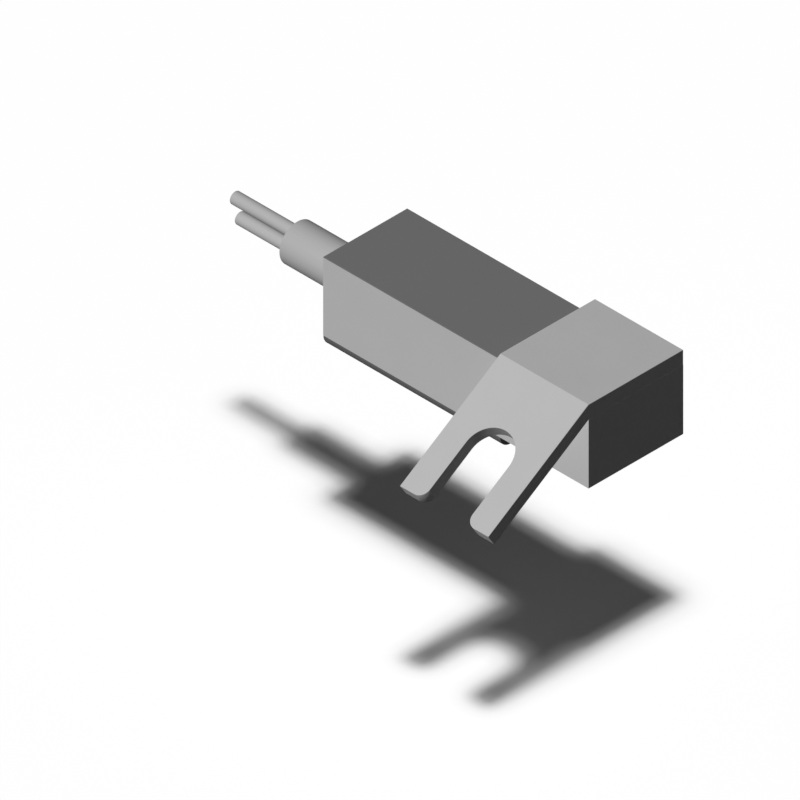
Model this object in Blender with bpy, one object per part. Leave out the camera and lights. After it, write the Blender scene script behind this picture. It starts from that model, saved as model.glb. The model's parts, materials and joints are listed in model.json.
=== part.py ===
"""Cylinder sensor with a fork bracket and a short two-core cable.

Metres, +Z up. The origin is the centre of the sensing foot's underside. +X runs along the body, away from the
cable, and the fork leans out towards -Y.
"""

import math

import bmesh
import bpy
from mathutils import Matrix, Vector

MM = 0.001

# Fits
SEAT = 0.02 * MM
CLEARANCE = 0.1 * MM
CUT = 1.0 * MM

# Sensing foot
FOOT_THICKNESS = 1.18 * MM
FOOT_EDGE_RADIUS = 1.2 * MM
FOOT_PEG_DIAMETER = 0.9 * MM
FOOT_PEG_HEIGHT = 1.0 * MM
FOOT_PEG_END_INSET = 0.65 * MM
FOOT_PEG_SIDE_INSET = 1.1 * MM

# Housing
BODY_LENGTH = 20.04 * MM
BODY_WIDTH = 9.52 * MM
BODY_HEIGHT = 7.7 * MM
FLOOR = 0.8 * MM
SIDE_WALL = 0.8 * MM
CABLE_WALL = 2.0 * MM
BLOCK_WALL = 0.8 * MM
LEDGE = 0.6 * MM
CAVITY_CORNER_RADIUS = 0.4 * MM
BLOCK_LENGTH = 10.0 * MM
BLOCK_OVERHANG = 1.2 * MM

# Cover
COVER_LIP = 0.06 * MM
COVER_PLUG = 0.8 * MM

# Fork bracket
PLATE_RISE = 0.54 * MM
PLATE_THICKNESS = 1.45 * MM
FORK_THICKNESS = 1.25 * MM
FORK_ANGLE = math.radians(32.7)
FORK_LENGTH = 13.5 * MM
SLOT_WIDTH = 4.8 * MM
SLOT_CENTRE = 7.65 * MM
TIP_RADIUS = 1.0 * MM
PEG_DIAMETER = 2.0 * MM
PEG_LENGTH = 2.5 * MM
PEG_SPACING = 5.0 * MM

# Cable
CABLE_HEIGHT = 2.92 * MM
JACKET_DIAMETER = 4.04 * MM
JACKET_OUTSIDE = 7.7 * MM
JACKET_INSIDE = 1.2 * MM
CORE_DIAMETER = 1.22 * MM
CORE_OUTSIDE = 14.45 * MM
CORE_PAST_JACKET = 0.3 * MM
CORE_SPACING = 2.34 * MM
CORE_TILT = math.radians(14.0)
WIRE_DIAMETER = 0.6 * MM
WIRE_BEND = 0.7 * MM

# Cable clip
CLIP_THICKNESS = 0.45 * MM
CLIP_WIDTH = 5.6 * MM
CLIP_BITE = 0.25 * MM
CLIP_CROWN = 0.9 * MM
CLIP_LEG = 1.3 * MM
CLIP_TOE = 0.4 * MM

# Circuit board
BOARD_THICKNESS = 1.0 * MM
TRACK_THICKNESS = 0.1 * MM
PAD_LENGTH = 1.8 * MM
PAD_MARGIN = 0.3 * MM
TRACK_WIDTH = 1.0 * MM
UNDER_TRACK_WIDTH = 1.4 * MM
VIA_DIAMETER = 0.6 * MM

# Reed switch
GLASS_DIAMETER = 1.8 * MM
GLASS_LENGTH = 6.0 * MM
GLASS_WALL = 0.3 * MM
GLASS_SEAL = 1.2 * MM
LEAD_DIAMETER = 0.5 * MM
LEAD_GAP = 0.3 * MM
BLADE_WIDTH = 0.8 * MM
BLADE_THICKNESS = 0.16 * MM
BLADE_OVERLAP = 0.8 * MM
BLADE_GAP = 0.06 * MM

# Parts on the board's upper face
RESISTOR_LENGTH = 3.2 * MM
RESISTOR_WIDTH = 1.6 * MM
RESISTOR_HEIGHT = 0.55 * MM
RESISTOR_CAP = 0.5 * MM
RESISTOR_CAP_STEP = 0.04 * MM
DIODE_LENGTH = 3.5 * MM
DIODE_DIAMETER = 1.5 * MM
DIODE_CAP = 0.6 * MM
DIODE_CAP_STEP = 0.06 * MM
EDGE_MARGIN = 0.5 * MM

# Solder
SOLDER_LENGTH = 1.0 * MM
SOLDER_SHELL = 0.25 * MM

# Places that follow from the sizes above
FOOT_TOP = FOOT_THICKNESS
BODY_END = BODY_LENGTH / 2
BLOCK_END = BODY_END + BLOCK_LENGTH
FRONT = -BODY_WIDTH / 2
BACK = BODY_WIDTH / 2
BLOCK_BACK = BACK + BLOCK_OVERHANG
BODY_TOP = FOOT_TOP + BODY_HEIGHT
RIM = BODY_TOP - COVER_LIP
PLUG_BOTTOM = RIM - COVER_PLUG
PLATE_TOP = BODY_TOP + PLATE_RISE
PLATE_UNDER = PLATE_TOP - PLATE_THICKNESS
CAVITY_START = -BODY_END + CABLE_WALL
CAVITY_END = BODY_END - BLOCK_WALL
CAVITY_HALF = BODY_WIDTH / 2 - SIDE_WALL
CAVITY_FLOOR = FOOT_TOP + FLOOR
CABLE_Z = FOOT_TOP + CABLE_HEIGHT
JACKET_RADIUS = JACKET_DIAMETER / 2
JACKET_END = CAVITY_START + JACKET_INSIDE
CORE_END = JACKET_END + CORE_PAST_JACKET
CLIP_X = -BODY_END + CABLE_WALL / 2
BOARD_START = CORE_END + CLEARANCE
BOARD_END = CAVITY_END - CLEARANCE
BOARD_TOP = CABLE_Z + BOARD_THICKNESS / 2
BOARD_UNDER = CABLE_Z - BOARD_THICKNESS / 2
TRACK_TOP = BOARD_TOP + SEAT + TRACK_THICKNESS
TRACK_UNDER = BOARD_UNDER - SEAT - TRACK_THICKNESS
REED_Z = TRACK_UNDER - SEAT - LEAD_DIAMETER / 2
PAD_START = BOARD_START + PAD_MARGIN
PAD_END = PAD_START + PAD_LENGTH
FAR_TRACK_END = BOARD_END - PAD_MARGIN
VIA_REACH = VIA_DIAMETER / 2 + CLEARANCE
LEAD_START = PAD_END + LEAD_GAP
LEAD_END = FAR_TRACK_END - 2 * VIA_REACH
REED_CENTRE = (LEAD_START + LEAD_END) / 2
GLASS_START = REED_CENTRE - GLASS_LENGTH / 2
GLASS_END = REED_CENTRE + GLASS_LENGTH / 2
WINDOW_START = GLASS_START - CLEARANCE
WINDOW_END = GLASS_END + CLEARANCE
NEAR_TRACK_END = WINDOW_START - CLEARANCE
FAR_TRACK_START = WINDOW_END + CLEARANCE
BOARD_HALF = CAVITY_HALF - CLEARANCE
PART_ROW = BOARD_HALF - EDGE_MARGIN - RESISTOR_WIDTH / 2

ROUND_STEPS = 64
SMALL_ROUND_STEPS = 32
ARC_STEPS = 12


def make_material(name, colour, roughness, metallic=0.0):
    """A Principled material with one colour, roughness and metallic value."""
    material = bpy.data.materials.new(name)
    material.use_nodes = True
    shader = material.node_tree.nodes["Principled BSDF"]
    shader.inputs["Base Color"].default_value = (*colour, 1.0)
    shader.inputs["Roughness"].default_value = roughness
    shader.inputs["Metallic"].default_value = metallic
    material.diffuse_color = (*colour, 1.0)
    return material


def new_piece(name, shape, material, parent=None, place=(0.0, 0.0, 0.0)):
    """Turns a bmesh into a named object at its place."""
    bmesh.ops.recalc_face_normals(shape, faces=shape.faces)
    mesh = bpy.data.meshes.new(name)
    shape.to_mesh(mesh)
    shape.free()
    piece = bpy.data.objects.new(name, mesh)
    bpy.context.collection.objects.link(piece)
    piece.parent = parent
    piece.location = place
    if material:
        mesh.materials.append(material)
    return piece


def shade_round(piece, angle=math.radians(35.0)):
    """Shades round faces smooth and keeps edges sharper than the angle."""
    piece.data.shade_smooth()
    piece.data.set_sharp_from_angle(angle=angle)


def box(low, high):
    """A box between two corners."""
    shape = bmesh.new()
    bmesh.ops.create_cube(shape, size=1.0)
    low, high = Vector(low), Vector(high)
    bmesh.ops.scale(shape, vec=high - low, verts=shape.verts)
    bmesh.ops.translate(shape, vec=(low + high) / 2, verts=shape.verts)
    return shape


def prism(outline, depth, turn=Matrix.Identity(4)):
    """A flat outline in XY, extruded upwards by a depth and then turned into place."""
    shape = bmesh.new()
    corners = [shape.verts.new((x, y, 0.0)) for x, y in outline]
    base = shape.faces.new(corners)
    swept = bmesh.ops.extrude_face_region(shape, geom=[base])
    top = [v for v in swept["geom"] if isinstance(v, bmesh.types.BMVert)]
    bmesh.ops.translate(shape, vec=(0.0, 0.0, depth), verts=top)
    bmesh.ops.transform(shape, matrix=turn, verts=shape.verts)
    return shape


def turned(profile, steps, closed_loop=False):
    """A profile of (x, radius) points revolved about the X axis."""
    shape = bmesh.new()
    points = [shape.verts.new((x, 0.0, radius)) for x, radius in profile]
    edges = [shape.edges.new(pair) for pair in zip(points, points[1:])]
    if closed_loop:
        edges.append(shape.edges.new((points[-1], points[0])))
    bmesh.ops.spin(
        shape,
        geom=points + edges,
        axis=(1.0, 0.0, 0.0),
        cent=(0.0, 0.0, 0.0),
        angle=2 * math.pi,
        steps=steps,
        use_merge=True,
    )
    bmesh.ops.remove_doubles(shape, verts=shape.verts, dist=0.0001 * MM)
    return shape


def rod(start, end, radius, steps=SMALL_ROUND_STEPS):
    """A solid round bar along X."""
    return turned([(start, 0.0), (start, radius), (end, radius), (end, 0.0)], steps)


def upright_rod(low, high, radius, steps=SMALL_ROUND_STEPS):
    """A solid round bar along Z."""
    shape = rod(low, high, radius, steps)
    bmesh.ops.rotate(shape, matrix=Matrix.Rotation(-math.pi / 2, 3, "Y"), verts=shape.verts)
    return shape


def arc(centre_x, centre_y, radius, first, last, steps=ARC_STEPS):
    """Points along a circular arc, from one angle to another."""
    angles = [first + (last - first) * step / steps for step in range(steps + 1)]
    return [(centre_x + radius * math.cos(a), centre_y + radius * math.sin(a)) for a in angles]


def combine(piece, operation, shape, place=(0.0, 0.0, 0.0)):
    """Adds a Boolean with a hidden guide shape that shares the piece's parent."""
    guide = new_piece(f"{piece.name}_{operation.lower()}_guide", shape, None, piece.parent, place)
    guide.hide_render = True
    guide.display_type = "WIRE"
    modifier = piece.modifiers.new(operation.title(), "BOOLEAN")
    modifier.operation = operation
    modifier.solver = "EXACT"
    modifier.object = guide


def cut(piece, shape, place=(0.0, 0.0, 0.0)):
    """Takes a shape away from a piece."""
    combine(piece, "DIFFERENCE", shape, place)


def add(piece, shape, place=(0.0, 0.0, 0.0)):
    """Joins a shape to a piece."""
    combine(piece, "UNION", shape, place)


def rounded_pocket(low, high, radius):
    """A pocket with round upright corners."""
    x0, y0, z0 = low
    x1, y1, z1 = high
    corners = [
        (x1 - radius, y1 - radius, 0.0),
        (x0 + radius, y1 - radius, math.pi / 2),
        (x0 + radius, y0 + radius, math.pi),
        (x1 - radius, y0 + radius, 3 * math.pi / 2),
    ]
    outline = []
    for x, y, first in corners:
        outline += arc(x, y, radius, first, first + math.pi / 2, ARC_STEPS // 2)
    return prism(outline, z1 - z0, Matrix.Translation((0.0, 0.0, z0)))


def tunnel(start, end, radius, height, depth):
    """A round-topped channel along X: an arch of a radius at a height, open down to a depth."""
    outline = arc(0.0, height, radius, 0.0, math.pi) + [(-radius, depth), (radius, depth)]
    along_x = Matrix(((0, 0, 1, start), (1, 0, 0, 0), (0, 1, 0, 0), (0, 0, 0, 1)))
    return prism(outline, end - start, along_x)


def section_along_x(outline, start, end):
    """A (y, z) section extruded from one X to another."""
    along_x = Matrix(((0, 0, 1, start), (1, 0, 0, 0), (0, 1, 0, 0), (0, 0, 0, 1)))
    return prism(outline, end - start, along_x)


def fork_direction():
    """The fork's downhill direction and its upward normal, in (y, z)."""
    downhill = Vector((-math.cos(FORK_ANGLE), -math.sin(FORK_ANGLE)))
    normal = Vector((-math.sin(FORK_ANGLE), math.cos(FORK_ANGLE)))
    return downhill, normal


def fork_under_z(y):
    """The height of the fork's under face at a given Y."""
    drop = FORK_THICKNESS / math.cos(FORK_ANGLE)
    return PLATE_TOP - drop + (y - FRONT) * math.tan(FORK_ANGLE)


def inner_bend_y():
    """The Y at which the fork's under face meets the plate's."""
    return FRONT + (PLATE_UNDER - fork_under_z(FRONT)) / math.tan(FORK_ANGLE)


def foot_peg_places():
    """The four pegs that locate the foot under the housing."""
    x = BODY_END - FOOT_PEG_END_INSET
    y = BODY_WIDTH / 2 - FOOT_PEG_SIDE_INSET
    return [(sx * x, sy * y, 0.0) for sx in (-1, 1) for sy in (-1, 1)]


def bracket_peg_places():
    """The two pegs under the bracket's plate."""
    x = BODY_END + BLOCK_LENGTH / 2
    y = (FRONT + BLOCK_BACK) / 2
    return [(x + side * PEG_SPACING / 2, y, 0.0) for side in (-1, 1)]


def core_places():
    """The two cores' axes, as (y, z) offsets from the cable's axis."""
    reach = CORE_SPACING / 2
    y, z = -reach * math.sin(CORE_TILT), reach * math.cos(CORE_TILT)
    return [(y, z), (-y, -z)]


def make_foot(material, root):
    """The dark strip under the body, with its long lower edges rounded."""
    radius = min(FOOT_EDGE_RADIUS, FOOT_THICKNESS - SEAT)
    outline = [(BACK, FOOT_TOP - SEAT), (FRONT, FOOT_TOP - SEAT)]
    outline += arc(FRONT + radius, radius, radius, math.pi, 1.5 * math.pi)
    outline += arc(BACK - radius, radius, radius, 1.5 * math.pi, 2 * math.pi)
    foot = new_piece("sensing_foot", section_along_x(outline, -BODY_END, BODY_END), material, root)
    for place in foot_peg_places():
        peg = upright_rod(FOOT_TOP / 2, FOOT_TOP + FOOT_PEG_HEIGHT, FOOT_PEG_DIAMETER / 2)
        add(foot, peg, place)
    shade_round(foot)


def make_housing(material, root):
    """The moulded housing: an open tray for the board, with the bracket's block on its far end."""
    rim = RIM - SEAT
    housing = new_piece("housing", box((-BODY_END, FRONT, FOOT_TOP), (BODY_END, BACK, rim)), material, root)
    seat = PLATE_UNDER - SEAT
    bend = inner_bend_y()
    front_top = min(seat, fork_under_z(FRONT) - SEAT)
    block = [(FRONT, FOOT_TOP), (BLOCK_BACK, FOOT_TOP), (BLOCK_BACK, seat)]
    if front_top < seat:
        block.append((bend, seat))
    block.append((FRONT, front_top))
    add(housing, section_along_x(block, BODY_END, BLOCK_END))

    upper = (CAVITY_START, -CAVITY_HALF, BOARD_UNDER - SEAT)
    lower = (CAVITY_START, LEDGE - CAVITY_HALF, CAVITY_FLOOR)
    cut(housing, rounded_pocket(upper, (CAVITY_END, CAVITY_HALF, rim + CUT), CAVITY_CORNER_RADIUS))
    cut(housing, rounded_pocket(lower, (CAVITY_END, CAVITY_HALF - LEDGE, rim), CAVITY_CORNER_RADIUS))

    bore = rod(-BODY_END - CUT, JACKET_END + CLEARANCE, JACKET_RADIUS + SEAT, ROUND_STEPS)
    cut(housing, bore, (0.0, 0.0, CABLE_Z))
    half_slot = CLIP_WIDTH / 2 + SEAT
    half_gap = CLIP_THICKNESS / 2 + SEAT
    slot_low = (CLIP_X - half_gap, -half_slot, CABLE_Z - CLIP_LEG - SEAT)
    cut(housing, box(slot_low, (CLIP_X + half_gap, half_slot, rim + CUT)))
    for place in foot_peg_places():
        top = FOOT_TOP + FOOT_PEG_HEIGHT + CLEARANCE
        cut(housing, upright_rod(FOOT_TOP - CUT, top, FOOT_PEG_DIAMETER / 2 + SEAT), place)
    for place in bracket_peg_places():
        bottom = PLATE_UNDER - PEG_LENGTH - CLEARANCE
        cut(housing, upright_rod(bottom, seat + CUT, PEG_DIAMETER / 2 + SEAT), place)
    shade_round(housing)


def make_cover(material, root):
    """The lid of the tray: a plug in the cavity under a thin lip that reaches the body's edges."""
    low = (-BODY_END, FRONT, RIM)
    cover = new_piece("cover", box(low, (BODY_END - SEAT, BACK, BODY_TOP)), material, root)
    plug_low = (CAVITY_START + CLEARANCE, CLEARANCE - CAVITY_HALF, PLUG_BOTTOM)
    plug_high = (CAVITY_END - CLEARANCE, CAVITY_HALF - CLEARANCE, RIM + COVER_LIP / 2)
    add(cover, rounded_pocket(plug_low, plug_high, CAVITY_CORNER_RADIUS))


def make_bracket(material, root):
    """The cast bracket: a plate let into the block, and a forked arm that slopes down from its front edge."""
    downhill, normal = fork_direction()
    bend = Vector((FRONT, PLATE_TOP))
    tip = bend + FORK_LENGTH * downhill
    tip_under = tip - FORK_THICKNESS * normal
    outline = [
        (BLOCK_BACK, PLATE_UNDER),
        (BLOCK_BACK, PLATE_TOP),
        tuple(bend),
        tuple(tip),
        tuple(tip_under),
        (inner_bend_y(), PLATE_UNDER),
    ]
    shape = section_along_x(outline, BODY_END, BLOCK_END)
    bracket = new_piece("fork_bracket", shape, material, root)

    middle = BLOCK_LENGTH / 2
    half = SLOT_WIDTH / 2
    shoulder = FORK_LENGTH - TIP_RADIUS
    mouth = arc(middle - half - TIP_RADIUS, shoulder, TIP_RADIUS, math.pi / 2, 0.0)
    throat = arc(middle, SLOT_CENTRE, half, math.pi, 2 * math.pi, 2 * ARC_STEPS)
    other_side = arc(middle + half + TIP_RADIUS, shoulder, TIP_RADIUS, math.pi, math.pi / 2)
    beyond = [(middle + half + TIP_RADIUS, FORK_LENGTH + CUT), (middle - half - TIP_RADIUS, FORK_LENGTH + CUT)]
    origin = Vector((BODY_END, *(bend - (FORK_THICKNESS + CUT) * normal)))
    axes = [(1.0, 0.0, 0.0), (0.0, *downhill), (0.0, *normal)]
    fork_plane = Matrix(axes).transposed().to_4x4()
    fork_plane.translation = origin
    slot = prism(mouth + throat + other_side + beyond, FORK_THICKNESS + 2 * CUT, fork_plane)
    cut(bracket, slot)
    for place in bracket_peg_places():
        peg = upright_rod(PLATE_UNDER - PEG_LENGTH, PLATE_UNDER + PLATE_THICKNESS / 2, PEG_DIAMETER / 2)
        add(bracket, peg, place)
    shade_round(bracket)


def make_jacket(material, cable):
    """The cable's jacket, with a bore for each core and a neck where the clip bites."""
    neck = JACKET_RADIUS - CLIP_BITE - SEAT
    half_gap = CLIP_THICKNESS / 2 + SEAT
    outer_end = -BODY_END - JACKET_OUTSIDE
    profile = [
        (outer_end, 0.0),
        (outer_end, JACKET_RADIUS),
        (CLIP_X - half_gap, JACKET_RADIUS),
        (CLIP_X - half_gap, neck),
        (CLIP_X + half_gap, neck),
        (CLIP_X + half_gap, JACKET_RADIUS),
        (JACKET_END, JACKET_RADIUS),
        (JACKET_END, 0.0),
    ]
    jacket = new_piece("cable_jacket", turned(profile, ROUND_STEPS), material, cable)
    for y, z in core_places():
        bore = rod(outer_end - CUT, JACKET_END + CUT, CORE_DIAMETER / 2 + SEAT)
        cut(jacket, bore, (0.0, y, z))
    shade_round(jacket)


def make_cores(insulation, copper, cable):
    """Two insulated cores, each with a copper wire that bends onto its pad on the board."""
    outer_end = -BODY_END - CORE_OUTSIDE
    outside = CORE_DIAMETER / 2
    inside = WIRE_DIAMETER / 2 + SEAT
    profile = [(outer_end, inside), (outer_end, outside), (CORE_END, outside), (CORE_END, inside)]
    pads = [TRACK_TOP + SEAT + WIRE_DIAMETER / 2, TRACK_UNDER - SEAT - WIRE_DIAMETER / 2]
    for number, ((y, z), pad_z) in enumerate(zip(core_places(), pads), start=1):
        tube = turned(profile, SMALL_ROUND_STEPS, closed_loop=True)
        core = new_piece(f"core_{number}_insulation", tube, insulation, cable, (0.0, y, z))
        shade_round(core)
        wire = make_wire(f"core_{number}_wire", outer_end + SEAT, pad_z - CABLE_Z - z, copper)
        wire.parent = cable
        wire.location = (0.0, y, z)


def make_wire(name, start, rise, material):
    """A round wire along X that eases up or down to a new height once it is past the insulation."""
    bend_steps = 8
    points = [(start, 0.0), ((start + CORE_END) / 2, 0.0), (CORE_END, 0.0)]
    for step in range(1, bend_steps + 1):
        share = step / bend_steps
        ease = (1 - math.cos(math.pi * share)) / 2
        points.append((CORE_END + share * WIRE_BEND, ease * rise))
    points.append((PAD_END, rise))
    curve = bpy.data.curves.new(name, "CURVE")
    curve.dimensions = "3D"
    curve.bevel_depth = WIRE_DIAMETER / 2
    curve.bevel_resolution = 3
    curve.use_fill_caps = True
    spline = curve.splines.new("POLY")
    spline.points.add(len(points) - 1)
    for point, (x, z) in zip(spline.points, points):
        point.co = (x, 0.0, z, 1.0)
    curve.materials.append(material)
    wire = bpy.data.objects.new(name, curve)
    bpy.context.collection.objects.link(wire)
    return wire


def make_clip(material, cable):
    """The steel clip that drops into the end wall over the jacket and holds the cable."""
    half = CLIP_WIDTH / 2
    throat = JACKET_RADIUS - CLIP_BITE
    top = JACKET_RADIUS + CLIP_CROWN
    outline = [(-half, top), (-half, CLIP_TOE - CLIP_LEG), (CLIP_TOE - half, -CLIP_LEG), (-throat, -CLIP_LEG)]
    outline += arc(0.0, 0.0, throat, math.pi, 0.0, 2 * ARC_STEPS)
    outline += [(throat, -CLIP_LEG), (half - CLIP_TOE, -CLIP_LEG), (half, CLIP_TOE - CLIP_LEG), (half, top)]
    shape = section_along_x(outline, CLIP_X - CLIP_THICKNESS / 2, CLIP_X + CLIP_THICKNESS / 2)
    new_piece("cable_clip", shape, material, cable)


def make_board(material, board_group):
    """The circuit board, with a window for the reed switch's glass and two plated holes."""
    low = (BOARD_START, -BOARD_HALF, -BOARD_THICKNESS / 2)
    high = (BOARD_END, BOARD_HALF, BOARD_THICKNESS / 2)
    board = new_piece("circuit_board", rounded_pocket(low, high, CAVITY_CORNER_RADIUS), material, board_group)
    reach = GLASS_DIAMETER / 2 + CLEARANCE
    window_low = (WINDOW_START, -reach, -BOARD_THICKNESS)
    window_high = (WINDOW_END, reach, BOARD_THICKNESS)
    cut(board, rounded_pocket(window_low, window_high, CAVITY_CORNER_RADIUS))
    for x in via_places():
        hole = upright_rod(-BOARD_THICKNESS, BOARD_THICKNESS, VIA_DIAMETER / 2 + SEAT, 16)
        cut(board, hole, (x, 0.0, 0.0))


def via_places():
    """The plated holes that carry a track through the board, by the window and by the board's far end."""
    return [NEAR_TRACK_END - VIA_REACH, FAR_TRACK_END - VIA_REACH]


def track(name, upper, under_span, via_x, material, board_group):
    """A copper track: a shape on the upper face, a strip on the under face, and the barrel that joins them."""
    on_top = Matrix.Translation((0.0, 0.0, BOARD_THICKNESS / 2 + SEAT))
    piece = new_piece(name, prism(upper, TRACK_THICKNESS, on_top), material, board_group)
    if under_span:
        start, end = under_span
        half = UNDER_TRACK_WIDTH / 2
        under = -BOARD_THICKNESS / 2 - SEAT
        add(piece, box((start, -half, under - TRACK_THICKNESS), (end, half, under)))
        reach = BOARD_THICKNESS / 2 + SEAT + TRACK_THICKNESS / 2
        add(piece, upright_rod(-reach, reach, VIA_DIAMETER / 2, 16), (via_x, 0.0, 0.0))


def make_tracks(material, board_group):
    """Three tracks: from core 1 to the upper parts, from core 2 to the reed, and from the reed's far end."""
    half = TRACK_WIDTH / 2
    near_via, far_via = via_places()
    feed_end = resistor_start() + RESISTOR_CAP
    diode_near = diode_start() + DIODE_CAP
    feed = [
        (PAD_START, -PART_ROW - half),
        (diode_near, -PART_ROW - half),
        (diode_near, half - PART_ROW),
        (PAD_END, half - PART_ROW),
        (PAD_END, PART_ROW - half),
        (feed_end, PART_ROW - half),
        (feed_end, PART_ROW + half),
        (PAD_START, PART_ROW + half),
    ]
    track("track_feed", feed, None, None, material, board_group)

    diode_far = diode_start() + DIODE_LENGTH
    near = [
        (diode_far - DIODE_CAP, -PART_ROW - half),
        (NEAR_TRACK_END, -PART_ROW - half),
        (NEAR_TRACK_END, half),
        (near_via - VIA_REACH, half),
        (near_via - VIA_REACH, half - PART_ROW),
        (diode_far - DIODE_CAP, half - PART_ROW),
    ]
    track("track_near", near, (PAD_START, NEAR_TRACK_END), near_via, material, board_group)

    resistor_end = resistor_start() + RESISTOR_LENGTH
    far = [
        (resistor_end - RESISTOR_CAP, PART_ROW - half),
        (FAR_TRACK_START, PART_ROW - half),
        (FAR_TRACK_START, -half),
        (FAR_TRACK_END, -half),
        (FAR_TRACK_END, PART_ROW + half),
        (resistor_end - RESISTOR_CAP, PART_ROW + half),
    ]
    track("track_far", far, (FAR_TRACK_START, FAR_TRACK_END), far_via, material, board_group)


def resistor_start():
    """The resistor starts over the reed's window."""
    return WINDOW_START


def diode_start():
    """The diode starts at the edge of core 1's pad."""
    return PAD_START


def make_glass(material, reed):
    """The reed switch's glass tube, closed round the leads at both ends."""
    radius = GLASS_DIAMETER / 2
    end = GLASS_LENGTH / 2
    hole = LEAD_DIAMETER / 2 + SEAT
    bore = radius - GLASS_WALL
    seal = end - GLASS_SEAL
    crown = radius - hole
    outer = [(end - crown + crown * math.sin(a), hole + crown * math.cos(a)) for a in quarter_angles()]
    profile = [(-x, r) for x, r in reversed(outer)] + outer
    profile += [(seal, hole), (seal - crown / 2, bore), (crown / 2 - seal, bore), (-seal, hole)]
    glass = new_piece("reed_glass", turned(profile, SMALL_ROUND_STEPS, closed_loop=True), material, reed)
    shade_round(glass)


def quarter_angles(steps=6):
    """Angles from 0 to a right angle."""
    return [math.pi / 2 * step / steps for step in range(steps + 1)]


def make_blades(material, reed):
    """The two reeds: a round lead through the glass, pressed flat inside, overlapping with a small gap."""
    seal = GLASS_LENGTH / 2 - GLASS_SEAL
    lead_end = LEAD_END - REED_CENTRE
    flat_start = seal - GLASS_WALL
    for name, side in (("reed_blade_near", -1), ("reed_blade_far", 1)):
        lead = turned(
            [(flat_start, 0.0), (flat_start, LEAD_DIAMETER / 2), (lead_end, LEAD_DIAMETER / 2), (lead_end, 0.0)],
            SMALL_ROUND_STEPS // 2,
        )
        blade = new_piece(name, lead, material, reed)
        blade.rotation_euler = (0.0, 0.0, math.pi if side < 0 else 0.0)
        low_z = BLADE_GAP / 2 if side > 0 else -BLADE_GAP / 2 - BLADE_THICKNESS
        flat_low = (-BLADE_OVERLAP / 2, -BLADE_WIDTH / 2, low_z)
        flat_high = (flat_start + LEAD_DIAMETER / 2, BLADE_WIDTH / 2, low_z + BLADE_THICKNESS)
        flat = new_piece(f"{name}_flat_guide", box(flat_low, flat_high), None, reed)
        flat.rotation_euler = blade.rotation_euler
        flat.hide_render = True
        flat.display_type = "WIRE"
        modifier = blade.modifiers.new("Flat", "BOOLEAN")
        modifier.operation = "UNION"
        modifier.solver = "EXACT"
        modifier.object = flat
        shade_round(blade)


def make_resistor(material, board_group):
    """The series resistor: a ceramic chip with a metal cap on each end."""
    half = RESISTOR_WIDTH / 2
    step = RESISTOR_CAP_STEP
    z = BOARD_THICKNESS / 2 + SEAT + TRACK_THICKNESS + SEAT
    x = resistor_start()
    body = box((0.0, step - half, step), (RESISTOR_LENGTH, half - step, RESISTOR_HEIGHT - step))
    chip = new_piece("series_resistor", body, material, board_group, (x, PART_ROW, z))
    for cap in (0.0, RESISTOR_LENGTH - RESISTOR_CAP):
        add(chip, box((cap, -half, 0.0), (cap + RESISTOR_CAP, half, RESISTOR_HEIGHT)), (x, PART_ROW, z))


def make_diode(material, board_group):
    """The surge suppressor: a small round part with a wider metal cap on each end."""
    cap = DIODE_DIAMETER / 2
    neck = cap - DIODE_CAP_STEP
    z = BOARD_THICKNESS / 2 + SEAT + TRACK_THICKNESS + SEAT + cap
    far = DIODE_LENGTH - DIODE_CAP
    profile = [
        (0.0, 0.0),
        (0.0, cap),
        (DIODE_CAP, cap),
        (DIODE_CAP, neck),
        (far, neck),
        (far, cap),
        (DIODE_LENGTH, cap),
        (DIODE_LENGTH, 0.0),
    ]
    shape = turned(profile, SMALL_ROUND_STEPS)
    diode = new_piece("surge_diode", shape, material, board_group, (diode_start(), -PART_ROW, z))
    shade_round(diode)


def make_solder(name, place, wire_radius, side, material, board_group):
    """A drop of solder over a wire on its track. Side is 1 on the upper face and -1 on the under face."""
    face = side * (BOARD_THICKNESS / 2 + SEAT + TRACK_THICKNESS + SEAT)
    x, y = place
    width = wire_radius + SOLDER_SHELL
    height = 2 * wire_radius + SOLDER_SHELL
    shape = bmesh.new()
    bmesh.ops.create_uvsphere(shape, u_segments=24, v_segments=16, radius=1.0)
    bmesh.ops.scale(shape, vec=(SOLDER_LENGTH / 2, width, height), verts=shape.verts)
    drop = new_piece(name, shape, material, board_group, (x, y, face))
    below = box((-SOLDER_LENGTH, -SOLDER_LENGTH, -2 * height), (SOLDER_LENGTH, SOLDER_LENGTH, 0.0))
    bmesh.ops.scale(below, vec=(1.0, 1.0, side), verts=below.verts)
    cut(drop, below, (x, y, face))
    channel = tunnel(-SOLDER_LENGTH, SOLDER_LENGTH, wire_radius + SEAT, wire_radius, -CUT)
    bmesh.ops.scale(channel, vec=(1.0, 1.0, side), verts=channel.verts)
    cut(drop, channel, (x, y, face))
    shade_round(drop)


def make_solders(material, board_group):
    """One drop on each core's pad and one on each of the reed's leads."""
    pad = (PAD_START + PAD_END) / 2 + WIRE_BEND / 2
    (upper_y, _), (lower_y, _) = core_places()
    wire = WIRE_DIAMETER / 2
    lead = LEAD_DIAMETER / 2
    make_solder("solder_core_1", (pad, upper_y), wire, 1, material, board_group)
    make_solder("solder_core_2", (pad, lower_y), wire, -1, material, board_group)
    make_solder("solder_reed_near", ((LEAD_START + GLASS_START) / 2, 0.0), lead, -1, material, board_group)
    make_solder("solder_reed_far", ((LEAD_END + GLASS_END) / 2, 0.0), lead, -1, material, board_group)


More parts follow.
